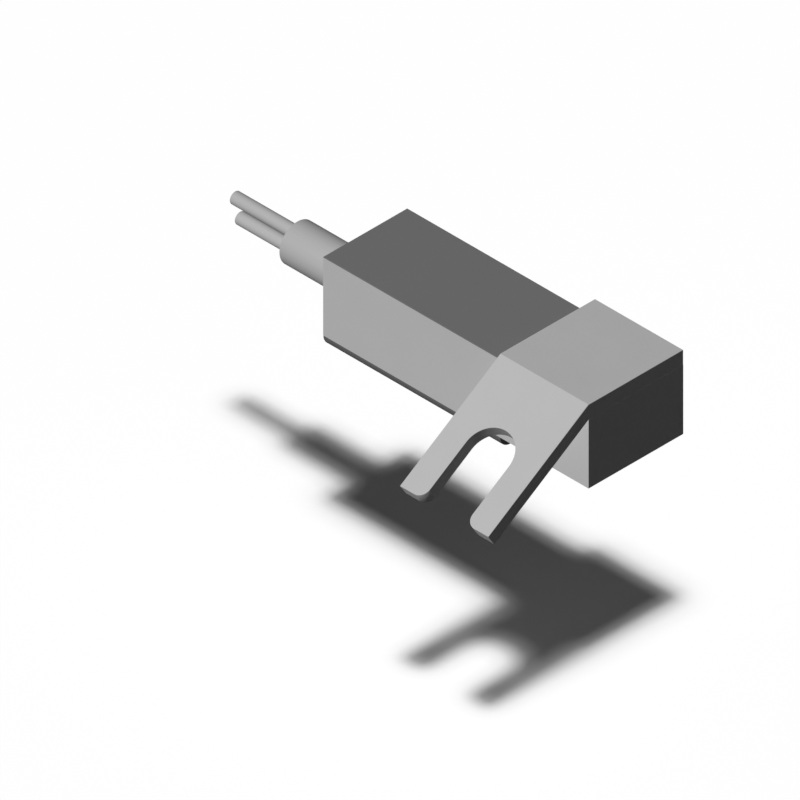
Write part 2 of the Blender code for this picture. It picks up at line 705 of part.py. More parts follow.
def make_resin(material, root):
    """The casting resin over the board, with the hollows that the cable and the upper parts leave in it."""
    bottom = TRACK_TOP + SEAT
    low = (CAVITY_START + SEAT, SEAT - CAVITY_HALF, bottom)
    high = (CAVITY_END - SEAT, CAVITY_HALF - SEAT, PLUG_BOTTOM - SEAT)
    resin = new_piece("casting_resin", rounded_pocket(low, high, CAVITY_CORNER_RADIUS), material, root)
    depth = bottom - CUT
    cut(resin, tunnel(CAVITY_START - CUT, JACKET_END + SEAT, JACKET_RADIUS + SEAT, CABLE_Z, depth))
    y, z = core_places()[0]
    core = tunnel(JACKET_END - CUT, CORE_END + SEAT, CORE_DIAMETER / 2 + SEAT, CABLE_Z + z, depth)
    cut(resin, core, (0.0, y, 0.0))
    wire_z = TRACK_TOP + WIRE_DIAMETER / 2
    wire = tunnel(CORE_END - CUT, PAD_END + CLEARANCE, WIRE_DIAMETER / 2 + CLEARANCE, wire_z + CLEARANCE, depth)
    cut(resin, wire, (0.0, y, 0.0))
    pad = (PAD_START + PAD_END) / 2 + WIRE_BEND / 2
    drop_half = WIRE_DIAMETER / 2 + SOLDER_SHELL + SEAT
    drop_top = TRACK_TOP + WIRE_DIAMETER + SOLDER_SHELL + CLEARANCE
    drop_reach = SOLDER_LENGTH / 2 + SEAT
    cut(resin, box((pad - drop_reach, y - drop_half, depth), (pad + drop_reach, y + drop_half, drop_top)))
    x = resistor_start()
    half = RESISTOR_WIDTH / 2 + SEAT
    chip_low = (x - SEAT, PART_ROW - half, depth)
    chip_high = (x + RESISTOR_LENGTH + SEAT, PART_ROW + half, TRACK_TOP + RESISTOR_HEIGHT + CLEARANCE)
    cut(resin, box(chip_low, chip_high))
    x = diode_start()
    diode_z = TRACK_TOP + SEAT + DIODE_DIAMETER / 2
    hollow = tunnel(x - SEAT, x + DIODE_LENGTH + SEAT, DIODE_DIAMETER / 2 + SEAT, diode_z, depth)
    cut(resin, hollow, (0.0, -PART_ROW, 0.0))


def make_group(name, place, parent=None):
    """An empty that carries a group of pieces."""
    group = bpy.data.objects.new(name, None)
    bpy.context.collection.objects.link(group)
    group.location = place
    group.parent = parent
    return group


def main():
    for thing in list(bpy.data.objects):
        bpy.data.objects.remove(thing)

    light_plastic = make_material("light_plastic", (0.515, 0.515, 0.515), 0.75)
    dark_plastic = make_material("dark_plastic", (0.17, 0.17, 0.17), 0.75)
    cast_metal = make_material("cast_metal", (0.48, 0.48, 0.48), 0.7)
    rubber = make_material("jacket_rubber", (0.43, 0.43, 0.43), 0.8)
    core_plastic = make_material("core_plastic", (0.445, 0.445, 0.445), 0.8)
    copper = make_material("copper", (0.6, 0.25, 0.12), 0.35, 1.0)
    spring_steel = make_material("spring_steel", (0.55, 0.55, 0.56), 0.3, 1.0)
    laminate = make_material("board_laminate", (0.02, 0.14, 0.05), 0.5)
    glass = make_material("reed_glass", (0.35, 0.5, 0.42), 0.1)
    ceramic = make_material("ceramic", (0.05, 0.05, 0.06), 0.5)
    solder = make_material("solder", (0.6, 0.6, 0.62), 0.3, 1.0)
    resin = make_material("resin", (0.03, 0.03, 0.035), 0.4)

    root = make_group("cylinder_sensor", (0.0, 0.0, 0.0))
    cable = make_group("cable_axis", (0.0, 0.0, CABLE_Z), root)
    board_group = make_group("board_plane", (0.0, 0.0, CABLE_Z), root)
    reed = make_group("reed_axis", (REED_CENTRE, 0.0, REED_Z), root)

    make_foot(dark_plastic, root)
    make_housing(light_plastic, root)
    make_cover(dark_plastic, root)
    make_bracket(cast_metal, root)
    make_jacket(rubber, cable)
    make_cores(core_plastic, copper, cable)
    make_clip(spring_steel, cable)
    make_board(laminate, board_group)
    make_tracks(copper, board_group)
    make_glass(glass, reed)
    make_blades(spring_steel, reed)
    make_resistor(ceramic, board_group)
    make_diode(ceramic, board_group)
    make_solders(solder, board_group)
    make_resin(resin, root)


main()
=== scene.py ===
"""Looks, lights and camera of a small cylinder sensor, laid out as a Blender add-on and run as a script."""
import json
import math

import bmesh
import bpy
from bpy.props import FloatProperty, FloatVectorProperty, IntProperty, PointerProperty
from bpy.types import Operator, Panel, PropertyGroup
from mathutils import Matrix, Vector


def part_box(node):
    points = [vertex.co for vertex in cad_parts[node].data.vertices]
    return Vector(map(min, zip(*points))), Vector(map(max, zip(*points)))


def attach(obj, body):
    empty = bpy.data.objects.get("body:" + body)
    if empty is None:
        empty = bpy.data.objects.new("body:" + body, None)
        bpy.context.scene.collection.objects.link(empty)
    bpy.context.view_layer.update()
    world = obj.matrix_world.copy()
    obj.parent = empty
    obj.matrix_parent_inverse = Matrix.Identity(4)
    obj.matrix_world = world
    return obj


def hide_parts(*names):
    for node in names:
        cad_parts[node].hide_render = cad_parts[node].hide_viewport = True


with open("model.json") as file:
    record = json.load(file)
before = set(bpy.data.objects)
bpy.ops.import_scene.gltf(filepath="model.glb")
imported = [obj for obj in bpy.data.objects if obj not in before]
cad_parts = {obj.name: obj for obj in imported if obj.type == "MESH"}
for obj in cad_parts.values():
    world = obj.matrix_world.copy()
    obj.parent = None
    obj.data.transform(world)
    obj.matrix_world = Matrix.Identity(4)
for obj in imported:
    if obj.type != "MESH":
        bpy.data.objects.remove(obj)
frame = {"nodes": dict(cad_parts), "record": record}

bl_info = {
    "name": "Cylinder sensor",
    "version": (1, 0, 0),
    "blender": (4, 5, 0),
    "location": "View3D > Sidebar > Sensor",
    "description": "Builds the looks, the lights and the camera of a small cylinder sensor",
    "category": "Object",
}

MM = 0.001
BODY = "root"

# The places of the three axes in a vector, and the upright.
X, Y, Z = 0, 1, 2
UP = (0.0, 0.0, 1.0)

# Two points nearer than this are one point, and a turn under this angle is no edge.
MERGE = 0.0005 * MM
FLAT = math.radians(0.5)
# An edge shades sharp where it turns by more than this.
SHARP = math.radians(28)
# An edge counts as square, and can be rounded, where it turns by more than this.
SQUARE = math.radians(50)
# A face lies on a plane where it looks along the axis and is within this distance of the plane.
LOOKS_ALONG = 0.999
ON_PLANE = 0.005 * MM
# Height of the bracket's seat, from its level part down to the start of its slope.
SEAT_STEP = 0.06 * MM

# Turns a flat ring upright, to face along the cable.
QUARTER_TURN = Matrix.Rotation(math.pi / 2, 3, "Y")
# Sides of a copper strand, and its steps along the cable where it runs straight and where it winds.
STRAND_SIDES = 10
STRAIGHT_STEPS = 24
WOUND_STEPS = 56
# Strands that lie side by side across a core's copper.
STRANDS_ACROSS = 3
# The strands stop this far short of the insulation's inner end, where the wire goes on solid.
SOLID_LAP = 0.3 * MM

# Nearly all values of a noise lie between these two.
NOISE_LOW = 0.3
NOISE_HIGH = 0.7

# The brightness of the white background.
WHITE = 0.991
# The way from the sensor to the camera, along which all three axes look equally long.
CAMERA_SIDE = Vector((1.0, -1.0, 1.0)).normalized()
CAMERA_DISTANCE = 150.0 * MM
CLIP_START = 1.0 * MM
CLIP_END = 10.0
# The way from the sensor to the back fill: below it, on the far side from the camera.
FILL_SIDE = (-0.6, 1.0, -0.7)

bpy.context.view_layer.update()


def recorded_colour(slot):
    """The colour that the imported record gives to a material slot."""
    for material in frame["record"]["materials"]:
        if material["slot"] == slot:
            return tuple(material["base_color"][:3])
    raise KeyError(slot)


# Settings


class SensorForm(PropertyGroup):
    """Sizes of the details that the looks add to the solids."""

    edge_round: FloatProperty(
        name="Edge round",
        description="Radius on the outer edges of the housing, the foot and the bracket",
        default=0.05 * MM,
        precision=6,
        unit="LENGTH",
    )
    seam: FloatProperty(
        name="Seam",
        description="Gap that is closed between the bracket and its seat on the housing",
        default=0.018 * MM,
        precision=6,
        unit="LENGTH",
    )
    cover_round: FloatProperty(
        name="Cover round",
        description="Radius on the cover's top edges",
        default=0.03 * MM,
        precision=6,
        unit="LENGTH",
    )
    rim_round: FloatProperty(
        name="Rim round",
        description="Radius on the cut ends of the cable's jacket and cores",
        default=0.05 * MM,
        precision=6,
        unit="LENGTH",
    )
    strands: IntProperty(
        name="Strands",
        description="Copper strands round the middle one in each core",
        default=6,
        min=3,
    )
    lay: FloatProperty(
        name="Lay",
        description="Length over which the strands make one turn",
        default=9.0 * MM,
        unit="LENGTH",
    )


class SensorFinish(PropertyGroup):
    """Colours and gloss of the finishes."""

    light_plastic: FloatVectorProperty(
        name="Light plastic",
        description="Colour of the housing",
        default=recorded_colour("light_plastic"),
        subtype="COLOR",
    )
    dark_plastic: FloatVectorProperty(
        name="Dark plastic",
        description="Colour of the cover and the foot",
        default=recorded_colour("dark_plastic"),
        subtype="COLOR",
    )
    # Painted shade: the foot's plastic is the cover's colour made darker by this factor, to stand in for
    # the shade on the strip under the body.
    foot_painted_shade: FloatProperty(
        name="Foot painted shade",
        description="Tone of the foot's plastic against the cover's",
        default=0.82,
        min=0.0,
    )
    cast_coat: FloatVectorProperty(
        name="Cast coat",
        description="Colour of the coat on the cast bracket",
        default=recorded_colour("cast_metal"),
        subtype="COLOR",
    )
    jacket: FloatVectorProperty(
        name="Jacket",
        description="Colour of the cable's jacket",
        default=recorded_colour("jacket_rubber"),
        subtype="COLOR",
    )
    core: FloatVectorProperty(
        name="Core",
        description="Colour of the cores' insulation",
        default=recorded_colour("core_plastic"),
        subtype="COLOR",
    )
    plastic_shine: FloatProperty(
        name="Plastic shine",
        description="Specular level of the moulded plastics",
        default=0.06,
        min=0.0,
        max=1.0,
    )
    coat_shine: FloatProperty(
        name="Coat shine",
        description="Specular level of the bracket's coat",
        default=0.08,
        min=0.0,
        max=1.0,
    )
    cable_shine: FloatProperty(
        name="Cable shine",
        description="Specular level of the jacket and the cores",
        default=0.04,
        min=0.0,
        max=1.0,
    )


class SensorStage(PropertyGroup):
    """Floor, lights and camera."""

    floor_drop: FloatProperty(
        name="Floor drop",
        description="Height of the part over the floor",
        default=14.73 * MM,
        unit="LENGTH",
    )
    floor_size: FloatProperty(
        name="Floor size",
        description="Half the width of the floor",
        default=3.0,
        unit="LENGTH",
    )
    overhead: FloatProperty(
        name="Overhead light",
        description="Strength of the two soft lights straight above the floor, together",
        default=3.65,
    )
    narrow_spread: FloatProperty(
        name="Narrow spread",
        description="Angle that the first overhead light fills",
        default=math.radians(6.3),
        subtype="ANGLE",
    )
    wide_spread: FloatProperty(
        name="Wide spread",
        description="Angle that the second overhead light fills",
        default=math.radians(14),
        subtype="ANGLE",
    )
    key: FloatProperty(
        name="Key light",
        description="Strength of the light on the sensor",
        default=3.03,
    )
    key_lean: FloatProperty(
        name="Key lean",
        description="Angle between the upright and the key light, towards the fork's side",
        default=math.radians(45),
        subtype="ANGLE",
    )
    key_swing: FloatProperty(
        name="Key swing",
        description="Angle by which the key light comes from the cable's end",
        default=math.radians(6),
        subtype="ANGLE",
    )
    fill: FloatProperty(
        name="Back fill",
        description="Strength of the light on the sides that face away from the camera",
        default=1.3,
    )
    ambient: FloatProperty(
        name="Ambient",
        description="Brightness of the room, away from the white background",
        default=0.055,
    )
    aim: FloatVectorProperty(
        name="Aim",
        description="Point in the middle of the picture",
        default=(-2.186 * MM, -3.89 * MM, -1.67 * MM),
        subtype="TRANSLATION",
    )
    view_width: FloatProperty(
        name="View width",
        description="Width of the picture",
        default=64.0 * MM,
        unit="LENGTH",
    )


# Meshes


def merged_copy(node):
    """A CAD node's loose triangles as one closed mesh with whole faces."""
    bm = bmesh.new()
    bm.from_mesh(frame["nodes"][node].data)
    bmesh.ops.remove_doubles(bm, verts=bm.verts[:], dist=MERGE)
    bmesh.ops.dissolve_limit(bm, angle_limit=FLAT, verts=bm.verts[:], edges=bm.edges[:])
    bm.normal_update()
    return bm


def on_planes(face, planes):
    """True where a face lies on one of the planes, each given as (axis, place)."""
    for axis, place in planes:
        looks_along = abs(face.normal[axis]) > LOOKS_ALONG
        if looks_along and abs(face.verts[0].co[axis] - place) < ON_PLANE:
            return True
    return False


def borders(edge, planes):
    """True where one of an edge's faces lies on one of the planes."""
    return any(on_planes(face, planes) for face in edge.link_faces)


def square_edges(bm, keep):
    """The outward edges that turn by about a right angle and pass a test."""
    found = []
    for edge in bm.edges:
        outward = len(edge.link_faces) == 2 and edge.is_convex
        if outward and edge.calc_face_angle() > SQUARE and keep(edge):
            found.append(edge)
    return found


def round_edges(bm, edges, radius):
    """Rounds some edges of a mesh."""
    bmesh.ops.bevel(
        bm,
        geom=edges,
        offset=radius,
        offset_type="OFFSET",
        segments=2,
        profile=0.5,
        affect="EDGES",
        material=-1,
        clamp_overlap=True,
    )


def add_piece(bm, name, material, node):
    """Makes a finished piece of a bmesh, which stands for a CAD node."""
    mesh = bpy.data.meshes.new(name)
    bm.to_mesh(mesh)
    bm.free()
    mesh.materials.append(material)
    mesh.shade_smooth()
    mesh.set_sharp_from_angle(angle=SHARP)
    piece = bpy.data.objects.new(name, mesh)
    bpy.context.collection.objects.link(piece)
    normals = piece.modifiers.new("even_normals", "WEIGHTED_NORMAL")
    normals.keep_sharp = True
    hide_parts(node)
    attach(piece, BODY)


def finish_nodes(material, *nodes):
    """Gives a material to CAD nodes that keep their own shape."""
    for node in nodes:
        mesh = frame["nodes"][node].data
        mesh.materials.clear()
        mesh.materials.append(material)


# Materials


class Recipe:
    """A node material under construction, on Object coordinates."""

    def __init__(self, name):
        self.material = bpy.data.materials.new(name)
        self.material.use_nodes = True
        self.tree = self.material.node_tree
        self.shader = self.tree.nodes["Principled BSDF"]
        self.place = self.node("ShaderNodeTexCoord").outputs["Object"]

    def node(self, kind, **values):
        """A new node with some of its properties set."""
        made = self.tree.nodes.new(kind)
        for key, value in values.items():
            setattr(made, key, value)
        return made

    def link(self, source, target):
        """Joins an output to an input."""
        self.tree.links.new(source, target)

    def drawn_out(self, share):
        """The coordinates with only a share of their length along the cable, for long streaks."""
        mapping = self.node("ShaderNodeMapping")
        mapping.inputs["Scale"].default_value = (share, 1.0, 1.0)
        self.link(self.place, mapping.inputs["Vector"])
        return mapping.outputs["Vector"]

    def noise(self, feature, detail, place=None):
        """Noise with features of about so many metres."""
        made = self.node("ShaderNodeTexNoise")
        made.inputs["Scale"].default_value = 1.0 / feature
        made.inputs["Detail"].default_value = detail
        self.link(place or self.place, made.inputs["Vector"])
        return made.outputs["Fac"]

    def cells(self, feature):
        """Distance to the middle of rounded cells of about so many metres."""
        made = self.node("ShaderNodeTexVoronoi", feature="SMOOTH_F1")
        made.inputs["Scale"].default_value = 1.0 / feature
        self.link(self.place, made.inputs["Vector"])
        return made.outputs["Distance"]

    def threads(self, length, direction, waver):
        """Bands across one axis that waver a little, about three to a length in metres."""
        made = self.node("ShaderNodeTexWave", bands_direction=direction)
        made.inputs["Scale"].default_value = 1.0 / length
        made.inputs["Distortion"].default_value = waver
        self.link(self.place, made.inputs["Vector"])
        return made.outputs["Fac"]

    def blend(self, first, second, share):
        """A mix of two values, with a share of the second."""
        made = self.node("ShaderNodeMix", data_type="FLOAT")
        made.inputs["Factor"].default_value = share
        self.link(first, made.inputs["A"])
        self.link(second, made.inputs["B"])
        return made.outputs["Result"]

    def spread(self, value, low, high):
        """A pattern's value, stretched to run from low to high."""
        made = self.node("ShaderNodeMapRange")
        made.inputs["From Min"].default_value = NOISE_LOW
        made.inputs["From Max"].default_value = NOISE_HIGH
        made.inputs["To Min"].default_value = low
        made.inputs["To Max"].default_value = high
        self.link(value, made.inputs["Value"])
        return made.outputs["Result"]

    def tones(self, value, colour, dark, light):
        """A colour that a pattern makes darker or lighter by these factors."""
        made = self.node("ShaderNodeValToRGB")
        first, last = made.color_ramp.elements
        first.position, first.color = NOISE_LOW, (*shaded(colour, dark), 1.0)
        last.position, last.color = NOISE_HIGH, (*shaded(colour, light), 1.0)
        self.link(value, made.inputs["Fac"])
        return made.outputs["Color"]

    def bump(self, height, depth, strength, below=None):
        """A bump of so many metres, over another bump or straight on the surface."""
        made = self.node("ShaderNodeBump")
        made.inputs["Strength"].default_value = strength
        made.inputs["Distance"].default_value = depth
        self.link(height, made.inputs["Height"])
        if below:
            self.link(below, made.inputs["Normal"])
        return made.outputs["Normal"]

    def set(self, **values):
        """Sets constant sockets of the shader by name, with _ for a space."""
        for key, value in values.items():
            self.shader.inputs[key.replace("_", " ")].default_value = value

    def feed(self, **sources):
        """Links outputs to sockets of the shader by name, with _ for a space."""
        for key, source in sources.items():
            self.link(source, self.shader.inputs[key.replace("_", " ")])


def shaded(colour, factor):
    """A colour made darker or lighter."""
    return tuple(channel * factor for channel in colour)


def moulded_plastic(name, colour, shine, grain, contrast):
    """Matt moulded plastic: a fine spark-eroded grain and faint flow clouds."""
    recipe = Recipe(name)
    fine = recipe.noise(grain, detail=3.0)
    clouds = recipe.noise(5.0 * MM, detail=1.0)
    mixed = recipe.blend(fine, clouds, share=0.4)
    recipe.feed(
        Base_Color=recipe.tones(mixed, colour, dark=1 - contrast, light=1 + contrast),
        Roughness=recipe.spread(fine, low=0.7, high=0.84),
        Normal=recipe.bump(fine, depth=0.1 * grain, strength=0.5),
    )
    recipe.set(Specular_IOR_Level=shine)
    return recipe.material


def coated_casting(name, colour, shine):
    """A matt coat over a casting: a soft orange peel with fine specks in it."""
    recipe = Recipe(name)
    peel = recipe.cells(0.32 * MM)
    specks = recipe.noise(0.07 * MM, detail=2.0)
    clouds = recipe.noise(3.5 * MM, detail=2.0)
    mixed = recipe.blend(specks, clouds, share=0.45)
    hollows = recipe.bump(peel, depth=0.01 * MM, strength=0.5)
    recipe.feed(
        Base_Color=recipe.tones(mixed, colour, dark=0.985, light=1.04),
        Roughness=recipe.spread(specks, low=0.68, high=0.82),
        Normal=recipe.bump(specks, depth=0.006 * MM, strength=0.5, below=hollows),
    )
    recipe.set(Specular_IOR_Level=shine)
    return recipe.material


def drawn_plastic(name, colour, shine, across):
    """Extruded insulation: fine streaks along the cable and faint cloudiness."""
    recipe = Recipe(name)
    streaks = recipe.noise(across, detail=2.0, place=recipe.drawn_out(0.04))
    dust = recipe.noise(0.09 * MM, detail=2.0)
    mixed = recipe.blend(streaks, dust, share=0.4)
    recipe.feed(
        Base_Color=recipe.tones(mixed, colour, dark=0.98, light=1.02),
        Roughness=recipe.spread(dust, low=0.76, high=0.9),
        Normal=recipe.bump(streaks, depth=0.004 * MM, strength=0.6),
    )
    recipe.set(Specular_IOR_Level=shine)
    return recipe.material


def bare_metal(name, colour, roughness, across):
    """Bare metal with fine drawing lines along the part."""
    recipe = Recipe(name)
    lines = recipe.noise(across, detail=3.0, place=recipe.drawn_out(0.05))
    recipe.feed(
        Base_Color=recipe.tones(lines, colour, dark=0.85, light=1.05),
        Roughness=recipe.spread(lines, low=roughness - 0.06, high=roughness + 0.08),
        Normal=recipe.bump(lines, depth=0.003 * MM, strength=0.5),
    )
    recipe.set(Metallic=1.0)
    return recipe.material


def board_laminate(name, colour):
    """Green coated laminate: a faint glass weave under the coat."""
    recipe = Recipe(name)
    warp, weft = (recipe.threads(1.2 * MM, direction, waver=0.6) for direction in ("X", "Y"))
    weave = recipe.blend(warp, weft, share=0.5)
    recipe.feed(
        Base_Color=recipe.tones(weave, colour, dark=0.8, light=1.2),
        Roughness=recipe.spread(weave, low=0.3, high=0.42),
        Normal=recipe.bump(weave, depth=0.004 * MM, strength=0.4),
    )
    return recipe.material


def drawn_glass(name, colour):
    """Green tinted glass tube with faint draw lines."""
    recipe = Recipe(name)
    lines = recipe.noise(0.25 * MM, detail=2.0, place=recipe.drawn_out(0.05))
    recipe.feed(
        Base_Color=recipe.tones(lines, colour, dark=0.95, light=1.1),
        Roughness=recipe.spread(lines, low=0.02, high=0.06),
        Normal=recipe.bump(lines, depth=0.002 * MM, strength=0.3),
    )
    recipe.set(Transmission_Weight=1.0, IOR=1.5)
    return recipe.material


def chip_ceramic(name, colour):
    """Dark fired ceramic with a fine speckle."""
    recipe = Recipe(name)
    speckle = recipe.noise(0.06 * MM, detail=3.0)
    recipe.feed(
        Base_Color=recipe.tones(speckle, colour, dark=0.7, light=1.6),
        Roughness=recipe.spread(speckle, low=0.4, high=0.6),
        Normal=recipe.bump(speckle, depth=0.004 * MM, strength=0.5),
    )
    return recipe.material


def set_solder(name, colour):
    """Solder that has set with soft ripples."""
    recipe = Recipe(name)
    ripples = recipe.noise(0.3 * MM, detail=1.0)
    recipe.feed(
        Base_Color=recipe.tones(ripples, colour, dark=0.85, light=1.1),
        Roughness=recipe.spread(ripples, low=0.16, high=0.32),
        Normal=recipe.bump(ripples, depth=0.03 * MM, strength=0.5),
    )
    recipe.set(Metallic=1.0)
    return recipe.material


def cast_resin(name, colour):
    """Black casting resin with a slightly uneven skin."""
    recipe = Recipe(name)
    skin = recipe.noise(1.6 * MM, detail=2.0)
    recipe.feed(
        Base_Color=recipe.tones(skin, colour, dark=0.8, light=1.3),
        Roughness=recipe.spread(skin, low=0.14, high=0.26),
        Normal=recipe.bump(skin, depth=0.02 * MM, strength=0.5),
    )
    return recipe.material


# Pieces


class SENSOR_OT_housing(Operator):
    """Adds the housing with rounded outer edges."""

    bl_idname = "sensor.housing"
    bl_label = "Housing"

    def execute(self, context):
        form = context.scene.sensor_form
        finish = context.scene.sensor_finish
        low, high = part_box("housing")
        body_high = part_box("sensing_foot")[1]
        outside = [
            (X, low.x), (X, high.x), (X, body_high.x),
            (Y, low.y), (Y, high.y), (Y, body_high.y),
            (Z, low.z),
        ]
        bm = merged_copy("housing")
        seat = max(vert.co.z for vert in bm.verts if vert.co.x > body_high.x + ON_PLANE)
        under_seat = seat - SEAT_STEP
        rim = [vert for vert in bm.verts if under_seat < vert.co.z < seat + ON_PLANE]
        bmesh.ops.translate(bm, verts=rim, vec=(0.0, 0.0, form.seam))

        def is_outside(edge):
            """True on the outer faces, up to the seams with the bracket and the cover."""
            start, end = (vert.co.z for vert in edge.verts)
            clear_of_seams = start != end or start < under_seat
            return clear_of_seams and borders(edge, outside)

        round_edges(bm, square_edges(bm, is_outside), form.edge_round)
        plastic = moulded_plastic(
            "light_plastic", finish.light_plastic, finish.plastic_shine, grain=0.12 * MM, contrast=0.02
        )
        add_piece(bm, "housing_moulding", plastic, "housing")
        return {"FINISHED"}


class SENSOR_OT_cover(Operator):
    """Adds the cover with rounded top edges."""

    bl_idname = "sensor.cover"
    bl_label = "Cover"

    def execute(self, context):
        form = context.scene.sensor_form
        finish = context.scene.sensor_finish
        top = [(Z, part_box("cover")[1].z)]
        bm = merged_copy("cover")
        round_edges(bm, square_edges(bm, lambda edge: borders(edge, top)), form.cover_round)
        plastic = moulded_plastic(
            "dark_plastic", finish.dark_plastic, finish.plastic_shine, grain=0.14 * MM, contrast=0.025
        )
        add_piece(bm, "cover_lid", plastic, "cover")
        return {"FINISHED"}


class SENSOR_OT_foot(Operator):
    """Adds the sensing foot with rounded end edges."""

    bl_idname = "sensor.foot"
    bl_label = "Sensing foot"

    def execute(self, context):
        form = context.scene.sensor_form
        finish = context.scene.sensor_finish
        ends = [(X, corner.x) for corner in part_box("sensing_foot")]
        bm = merged_copy("sensing_foot")
        round_edges(bm, square_edges(bm, lambda edge: borders(edge, ends)), form.edge_round)
        # Painted shade: the foot gets the cover's colour darkened, in place of the shade that falls on the
        # strip under the body.
        colour = shaded(finish.dark_plastic, finish.foot_painted_shade)
        plastic = moulded_plastic(
            "foot_shaded_plastic", colour, finish.plastic_shine, grain=0.1 * MM, contrast=0.025
        )
        add_piece(bm, "foot_strip", plastic, "sensing_foot")
        return {"FINISHED"}


class SENSOR_OT_bracket(Operator):
    """Adds the cast fork bracket with rounded edges and its coat."""

    bl_idname = "sensor.bracket"
    bl_label = "Fork bracket"

    def execute(self, context):
        form = context.scene.sensor_form
        finish = context.scene.sensor_finish
        housing_low, housing_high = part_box("housing")
        front = housing_low.y - form.edge_round
        bm = merged_copy("fork_bracket")

        def is_outside(edge):
            """True on the plate's top and on the fork, and false where the bracket sits in the housing."""
            above = any(vert.co.z > housing_high.z for vert in edge.verts)
            return above or all(vert.co.y < front for vert in edge.verts)

        round_edges(bm, square_edges(bm, is_outside), form.edge_round)
        coat = coated_casting("cast_metal", finish.cast_coat, finish.coat_shine)
        add_piece(bm, "bracket_casting", coat, "fork_bracket")
        return {"FINISHED"}


def cut_end(node, radius):
    """A copy of a piece of the cable with its cut end's edges rounded."""
    end = [(X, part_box(node)[0].x)]
    bm = merged_copy(node)
    round_edges(bm, square_edges(bm, lambda edge: borders(edge, end)), radius)
    return bm


class SENSOR_OT_jacket(Operator):
    """Adds the cable's jacket with a softened cut end."""

    bl_idname = "sensor.jacket"
    bl_label = "Cable jacket"

    def execute(self, context):
        form = context.scene.sensor_form
        finish = context.scene.sensor_finish
        rubber = drawn_plastic("jacket_rubber", finish.jacket, finish.cable_shine, across=0.16 * MM)
        bm = cut_end("cable_jacket", form.rim_round)
        add_piece(bm, "jacket_sheath", rubber, "cable_jacket")
        return {"FINISHED"}


def strand(bm, middle, offset, radius, length, turn, steps):
    """One copper strand, wound round the core's middle line."""
    made = bmesh.ops.create_circle(bm, cap_ends=False, segments=STRAND_SIDES, radius=radius)
    ring = made["verts"]
    bmesh.ops.rotate(bm, verts=ring, cent=(0.0, 0.0, 0.0), matrix=QUARTER_TURN)
    bmesh.ops.translate(bm, verts=ring, vec=middle + offset)
    edges = list(dict.fromkeys(edge for vert in ring for edge in vert.link_edges))
    spun = bmesh.ops.spin(
        bm,
        geom=ring + edges,
        cent=middle,
        axis=(1.0, 0.0, 0.0),
        dvec=(length / steps, 0.0, 0.0),
        angle=turn,
        steps=steps,
        use_merge=False,
    )
    last = [item for item in spun["geom_last"] if isinstance(item, bmesh.types.BMEdge)]
    bmesh.ops.edgeloop_fill(bm, edges=edges)
    bmesh.ops.edgeloop_fill(bm, edges=last)


def core_copper(insulation, wire, strands, lay):
    """A core's copper: strands along its straight length, and its bent end left solid."""
    sleeve_low, sleeve_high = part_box(insulation)
    wire_low, wire_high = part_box(wire)
    middle = (sleeve_low + sleeve_high) / 2
    middle.x = wire_low.x
    joint = sleeve_high.x - SOLID_LAP
    bm = merged_copy(wire)
    cut = bmesh.ops.bisect_plane(
        bm,
        geom=bm.verts[:] + bm.edges[:] + bm.faces[:],
        dist=MERGE,
        plane_co=(joint, 0.0, 0.0),
        plane_no=(1.0, 0.0, 0.0),
        clear_inner=True,
    )
    rim = [item for item in cut["geom_cut"] if isinstance(item, bmesh.types.BMEdge)]
    bmesh.ops.edgeloop_fill(bm, edges=rim)
    length = joint - wire_low.x
    turn = 2 * math.pi * length / lay
    radius = (wire_high.y - wire_low.y) / (2 * STRANDS_ACROSS)
    strand(bm, middle, Vector((0.0, 0.0, 0.0)), radius, length, turn, STRAIGHT_STEPS)
    for number in range(strands):
        angle = 2 * math.pi * number / strands
        offset = 2 * radius * Vector((0.0, math.cos(angle), math.sin(angle)))
        strand(bm, middle, offset, radius, length, turn, WOUND_STEPS)
    bmesh.ops.recalc_face_normals(bm, faces=bm.faces[:])
    return bm


class SENSOR_OT_cores(Operator):
    """Adds the two cores: their insulation, and the stranded copper in them."""

    bl_idname = "sensor.cores"
    bl_label = "Cores"

    def execute(self, context):
        form = context.scene.sensor_form
        finish = context.scene.sensor_finish
        plastic = drawn_plastic("core_plastic", finish.core, finish.cable_shine, across=0.1 * MM)
        copper = bare_metal(
            "strand_copper", recorded_colour("copper"), roughness=0.3, across=0.03 * MM
        )
        for core in ("core_1", "core_2"):
            insulation = f"{core}_insulation"
            wire = f"{core}_wire"
            sleeve = cut_end(insulation, form.rim_round)
            add_piece(sleeve, f"{core}_sleeve", plastic, insulation)
            strands = core_copper(insulation, wire, form.strands, form.lay)
            add_piece(strands, f"{core}_strands", copper, wire)
        return {"FINISHED"}


class SENSOR_OT_clip(Operator):
    """Finishes the steel clip that bites the jacket."""

    bl_idname = "sensor.clip"
    bl_label = "Cable clip"

    def execute(self, context):
        steel = bare_metal(
            "spring_steel", recorded_colour("spring_steel"), roughness=0.28, across=0.05 * MM
        )
        finish_nodes(steel, "cable_clip")
        return {"FINISHED"}


class SENSOR_OT_board(Operator):
    """Finishes the circuit board, its tracks and its solder."""

    bl_idname = "sensor.board"
    bl_label = "Board and tracks"

    def execute(self, context):
        laminate = board_laminate("board_laminate", recorded_colour("board_laminate"))
        finish_nodes(laminate, "circuit_board")
        copper = bare_metal(
            "track_copper", recorded_colour("copper"), roughness=0.36, across=0.08 * MM
        )
        finish_nodes(copper, "track_feed", "track_near", "track_far")
        solder = set_solder("solder", recorded_colour("solder"))
        finish_nodes(solder, "solder_core_1", "solder_core_2", "solder_reed_near", "solder_reed_far")
        return {"FINISHED"}


